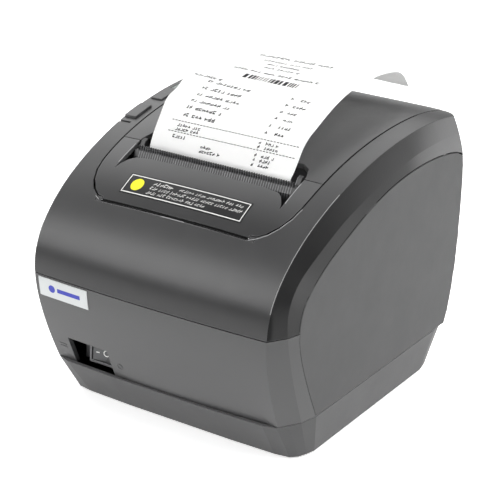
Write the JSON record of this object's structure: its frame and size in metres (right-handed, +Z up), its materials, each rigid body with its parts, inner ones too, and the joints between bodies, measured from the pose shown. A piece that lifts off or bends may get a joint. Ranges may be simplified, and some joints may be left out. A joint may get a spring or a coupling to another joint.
{
  "type": "receipt printer",
  "caption": "Desktop thermal receipt printer with hinged paper lid, front cutter flap, curled printed receipt, roll bucket, print mechanism and rear sockets.",
  "frame": {"origin": "centre of the footprint at the underside of the feet", "axes": "+Z up, +Y from the front towards the back, +X to the right seen from the front"},
  "size_m": [0.145, 0.1901, 0.1641],
  "materials": {
    "aluminium": "extruded",
    "base_plastic": "satin moulded, fine grain",
    "black_gloss": "gloss black",
    "blade_steel": "ground",
    "board_tube": "kraft tube",
    "button_plastic": "satin",
    "cable_film": "flat film",
    "gear_plastic": "natural acetal",
    "head_ceramic": "glazed",
    "inner_plastic": "matt black moulded",
    "label_film": "printed film",
    "lamp": "diffusing",
    "lid_plastic": "satin moulded, fine grain",
    "paper": "thermal paper",
    "pcb": "solder mask",
    "plate_film": "pale printed film",
    "platen_rubber": "ground",
    "rubber": "soft",
    "shell_plastic": "satin moulded, fine grain",
    "side_plastic": "satin moulded, fine grain",
    "steel": "brushed",
    "tear_plastic": "matt black",
    "zinc": "zinc plated"
  },
  "bodies": {
    "base": {"top_cover": "shell_plastic", "front_cover": "shell_plastic", "left_side_panel": "side_plastic", "right_side_panel": "side_plastic", "rear_panel": "side_plastic", "base_tray": "base_plastic", "rubber_feet": "rubber", "case_screws": "zinc", "main_board": "pcb", "inner_screws": "zinc", "power_jack": "black_gloss", "usb_socket": "zinc", "network_socket": "zinc", "drawer_socket": "black_gloss", "serial_socket": "zinc", "buzzer": "black_gloss", "switch_housing": "inner_plastic", "roll_bucket": "inner_plastic", "paper_web": "paper", "mech_frame": "zinc", "feed_motor": "zinc", "frame_pins": "steel", "thermal_head": "head_ceramic", "head_heat_sink": "aluminium", "head_springs": "steel", "cutter_frame": "inner_plastic", "cutter_motor": "zinc", "tear_bar": "tear_plastic", "flap_hinge_pins": "steel", "button_board": "pcb", "light_pipes": "lamp", "release_spring": "steel", "nameplate": "plate_film", "cover_sensor": "inner_plastic", "ribbon_cable": "cable_film"},
    "lid_body": {"lid": "lid_plastic", "lid_liner": "inner_plastic", "lid_hinge_pins": "steel", "platen_bushings": "gear_plastic", "cutter_fixed_blade": "blade_steel", "receipt": "paper"},
    "flap_body": {"front_flap": "lid_plastic", "warning_label": "label_film"},
    "roll_body": {"paper_roll": "paper", "roll_core": "board_tube"},
    "platen_body": {"platen_roller": "platen_rubber", "platen_shaft": "steel", "platen_gear": "gear_plastic"},
    "idler_body": {"idler_gear": "gear_plastic"},
    "pinion_body": {"motor_pinion": "gear_plastic"},
    "cutter_body": {"cutter_shaft": "steel", "cutter_gears": "gear_plastic", "cutter_reset_wheel": "gear_plastic"},
    "blade_body": {"cutter_moving_blade": "blade_steel", "blade_racks": "gear_plastic"},
    "cutter_pinion_body": {"cutter_motor_pinion": "gear_plastic"},
    "release_body": {"release_button": "button_plastic"},
    "latch_body": {"latch_hook": "inner_plastic"},
    "feed_body": {"feed_button": "button_plastic"},
    "rocker_body": {"power_rocker": "black_gloss"}
  },
  "joints": [
    {"name": "lid_hinge", "type": "hinge", "parent": "base", "child": "lid_body", "pos_m": [0, 0.082, 0.1302], "axis": [-1, 0, 0], "range_deg": [0, 95]},
    {"name": "flap_hinge", "type": "hinge", "parent": "base", "child": "flap_body", "pos_m": [0, -0.07276, 0.1106], "axis": [1, 0, 0], "range_deg": [0, 60]},
    {"name": "roll_spin", "type": "hinge", "parent": "base", "child": "roll_body", "pos_m": [0, 0.024, 0.0704], "axis": [-1, 0, 0], "continuous": true},
    {"name": "platen_spin", "type": "hinge", "parent": "lid_body", "child": "platen_body", "pos_m": [0, -0.024, 0.1072], "axis": [-1, 0, 0], "continuous": true},
    {"name": "idler_spin", "type": "hinge", "parent": "base", "child": "idler_body", "pos_m": [0, -0.03352, 0.08604], "axis": [-1, 0, 0], "continuous": true},
    {"name": "pinion_spin", "type": "hinge", "parent": "base", "child": "pinion_body", "pos_m": [0, -0.04205, 0.06707], "axis": [-1, 0, 0], "continuous": true},
    {"name": "cutter_turn", "type": "hinge", "parent": "base", "child": "cutter_body", "pos_m": [0, -0.054, 0.1052], "axis": [-1, 0, 0], "range_deg": [0, 76]},
    {"name": "blade_slide", "type": "slide", "parent": "base", "child": "blade_body", "axis": [0, 1, 0], "range_m": [0, 0.0079]},
    {"name": "cutter_pinion_spin", "type": "hinge", "parent": "base", "child": "cutter_pinion_body", "pos_m": [0, -0.05865, 0.09242], "axis": [-1, 0, 0], "range_deg": [-185, 1]},
    {"name": "release_press", "type": "slide", "parent": "base", "child": "release_body", "axis": [0, 0, -1], "range_m": [0, 0.003], "stiffness_N_per_m": 300, "deforming": ["release_spring"]},
    {"name": "latch_turn", "type": "hinge", "parent": "base", "child": "latch_body", "pos_m": [-0.0484, -0.028, 0.0912], "axis": [-1, 0, 0], "range_deg": [0, 10]},
    {"name": "feed_press", "type": "slide", "parent": "base", "child": "feed_body", "axis": [0, 0, -1], "range_m": [0, 0.0004], "stiffness_N_per_m": 600},
    {"name": "rocker_tilt", "type": "hinge", "parent": "base", "child": "rocker_body", "pos_m": [-0.037, -0.0675, 0.0332], "axis": [0, 0, 1], "range_deg": [-9, 9]}
  ],
  "couplings": [
    {"joint": "platen_spin", "follows": "roll_spin", "ratio": 6.5455},
    {"joint": "idler_spin", "follows": "roll_spin", "ratio": -2.9455},
    {"joint": "pinion_spin", "follows": "roll_spin", "ratio": 9.8182},
    {"joint": "cutter_turn", "follows": "blade_slide", "rad_per_m": 166.67},
    {"joint": "cutter_pinion_spin", "follows": "blade_slide", "rad_per_m": -400},
    {"joint": "latch_turn", "follows": "release_press", "rad_per_m": 55}
  ]
}
